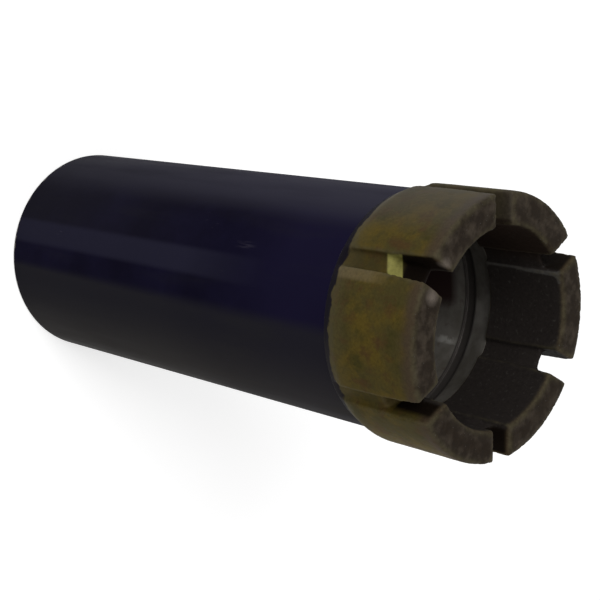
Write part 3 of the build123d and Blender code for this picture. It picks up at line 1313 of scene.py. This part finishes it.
@dataclass
class DiamondGrit:
    """Grit that stands just proud of the cutting face, in crystals of unequal size."""

    size: float = 0.42
    least_size: float = 0.6
    most_turn: float = 6.2
    sink: float = 0.2
    cut_corner: float = 0.3
    density_per_mm2: float = 0.18
    seed: int = 7

    def crystal(self) -> bpy.types.Object:
        """Blocky crystal: a cube with its corners cut off, one unit across."""
        near, far = self.cut_corner, 0.5
        corners = []
        for axis in range(3):
            for sign in (-1, 1):
                for first in (-near, near):
                    for second in (-near, near):
                        point = [first, second]
                        point.insert(axis, sign * far)
                        corners.append(tuple(value / MM for value in point))
        piece = new_piece("grit_crystal", corners, [])
        close_surface(piece, hull=True)
        return piece

    def tree(self) -> bpy.types.NodeTree:
        """Geometry tree that scatters crystals over the cutting face."""
        tree = new_geometry_tree("diamond_grit", {
            "Crystal": "Object", "Density": "Float", "Size": "Float", "Seed": "Int",
            "Material": "Material"})
        given = add_node(tree, "NodeGroupInput").outputs
        face = Term(tree, add_node(tree, "GeometryNodeInputNamedAttribute",
                                   {"Name": Attribute.FACE.value}, data_type="FLOAT"))
        points = add_node(tree, "GeometryNodeDistributePointsOnFaces", {
            "Mesh": given["Geometry"], "Density": face * given["Density"],
            "Seed": given["Seed"]}, distribute_method="RANDOM")
        crystal = add_node(tree, "GeometryNodeObjectInfo", {"Object": given["Crystal"]})
        turn = add_node(tree, "FunctionNodeRandomValue", {
            0: (0.0, 0.0, 0.0), 1: (self.most_turn,) * 3, "Seed": given["Seed"]},
            data_type="FLOAT_VECTOR")
        spread = add_node(tree, "FunctionNodeRandomValue",
                          {2: self.least_size, 3: 1.0, "Seed": given["Seed"]},
                          data_type="FLOAT")
        scale = Term(tree, spread.outputs[1]) * given["Size"]
        placed = add_node(tree, "GeometryNodeInstanceOnPoints", {
            "Points": points.outputs["Points"], "Instance": crystal.outputs["Geometry"],
            "Rotation": turn, "Scale": scale})
        plain = add_node(tree, "GeometryNodeRealizeInstances", {"Geometry": placed})
        sunk = add_node(tree, "GeometryNodeSetPosition",
                        {"Geometry": plain, "Offset": (0.0, 0.0, -self.sink * MM)})
        end_tree(tree, sunk, given["Material"])
        return tree

    def build(self, crown: bpy.types.Object) -> None:
        """Makes and hands over the grit.

        Args:
            crown: Finished crown that carries it.
        """
        piece = bpy.data.objects.new("diamond_grit", crown.data.copy())
        bpy.context.scene.collection.objects.link(piece)
        crystal = self.crystal()
        apply_tree(piece, self.tree(), {
            "Crystal": crystal, "Density": self.density_per_mm2 / MM ** 2,
            "Size": self.size * MM, "Seed": self.seed,
            "Material": SyntheticDiamond().material()})
        remove_piece(crystal)
        finish_piece(piece, Slot.CROWN)


# --- the studio -----------------------------------------------------------------------------------


def seen_share(tree: bpy.types.NodeTree) -> Term:
    """Share that is 1 for the rays that show a thing: the camera's, and those in gloss or glass."""
    rays = add_node(tree, "ShaderNodeLightPath").outputs
    seen = Term(tree, rays["Is Camera Ray"])
    for kind in ("Is Glossy Ray", "Is Transmission Ray"):
        seen = seen.math("MAXIMUM", rays[kind])
    return seen


@dataclass(frozen=True)
class Lamp:
    """Square soft lamp that looks at a point on the bit's axis."""

    name: str
    azimuth: float
    elevation: float
    distance: float
    width: float
    power: float
    target_height: float = 110.0

    def build(self) -> None:
        """Makes the lamp."""
        back = backward(self.azimuth, self.elevation)
        data = bpy.data.lights.new(self.name, "AREA")
        data.size = self.width * MM
        data.energy = self.power
        lamp = bpy.data.objects.new(self.name, data)
        lamp.location = Vector((0, 0, self.target_height * MM)) + back * self.distance * MM
        lamp.rotation_mode = "QUATERNION"
        lamp.rotation_quaternion = back.to_track_quat("Z", "Y")
        bpy.context.scene.collection.objects.link(lamp)


@dataclass
class Studio:
    """White floor, plain soft light and the camera."""

    white: Colour = (1.0, 1.0, 1.0, 1.0)
    floor_size: float = 6000.0
    floor_colour: str = "#E6E6E6"
    floor_lift: float = 0.5
    sky_strength: Fade = Fade(0.0, 1.0, 1.0, 0.42)
    lamps: tuple[Lamp, ...] = (
        Lamp("key_lamp", -22.0, 50.0, 900.0, 520.0, 4.6),
        Lamp("fill_lamp", 120.0, 35.0, 1000.0, 700.0, 2.0),
    )
    lens: float = 77.793
    clip_start: float = 10.0
    camera_place: Place = (66.159, -285.382, 401.813)
    camera_azimuth: float = 12.4389
    camera_elevation: float = 44.6984
    camera_roll: float = 101.3846

    def floor_material(self) -> bpy.types.Material:
        """Matt white floor that keeps the shadow and shows white to the camera and in gloss."""
        made, tree = new_material("studio floor")
        matt = add_node(tree, "ShaderNodeBsdfDiffuse", {"Color": linear(self.floor_colour)})
        glow = add_node(tree, "ShaderNodeEmission",
                        {"Color": self.white, "Strength": seen_share(tree) * self.floor_lift})
        both = add_node(tree, "ShaderNodeAddShader", {0: matt, 1: glow})
        add_node(tree, "ShaderNodeOutputMaterial", {"Surface": both})
        return made

    def build_floor(self) -> None:
        """Makes the floor."""
        half = self.floor_size / 2
        corners = [(-half, -half, 0.0), (half, -half, 0.0), (half, half, 0.0), (-half, half, 0.0)]
        floor = new_piece("studio_floor", corners, [(0, 1, 2, 3)])
        floor.data.materials.append(self.floor_material())

    def build_world(self) -> None:
        """Makes a plain world that lights softly and is white where it is seen."""
        world = bpy.data.worlds.new("studio")
        world.use_nodes = True
        tree = world.node_tree
        tree.nodes.clear()
        sky = add_node(tree, "ShaderNodeBackground", {
            "Color": self.white, "Strength": seen_share(tree).through(self.sky_strength)})
        add_node(tree, "ShaderNodeOutputWorld", {"Surface": sky})
        bpy.context.scene.world = world

    def build_camera(self) -> None:
        """Makes the camera."""
        camera = bpy.data.objects.new("camera", bpy.data.cameras.new("camera"))
        bpy.context.scene.collection.objects.link(camera)
        camera.data.lens = self.lens
        camera.data.clip_start = self.clip_start * MM
        back = backward(self.camera_azimuth, self.camera_elevation)
        camera.location = Vector(self.camera_place) * MM
        camera.rotation_mode = "QUATERNION"
        camera.rotation_quaternion = (back.to_track_quat("Z", "Y")
                                      @ Quaternion((0, 0, 1), math.radians(self.camera_roll)))
        bpy.context.scene.camera = camera

    def build(self) -> None:
        """Makes the whole studio."""
        self.build_floor()
        self.build_world()
        for lamp in self.lamps:
            lamp.build()
        self.build_camera()
        bpy.context.scene.view_settings.view_transform = "Standard"


def main() -> None:
    """Builds the bit and its studio."""
    logging.basicConfig(level=logging.INFO, format="%(name)s: %(message)s")
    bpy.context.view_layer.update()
    Studio().build()
    Shank().build()
    crown = Crown().build()
    DiamondGrit().build(crown)


if __name__ == "__main__":
    main()
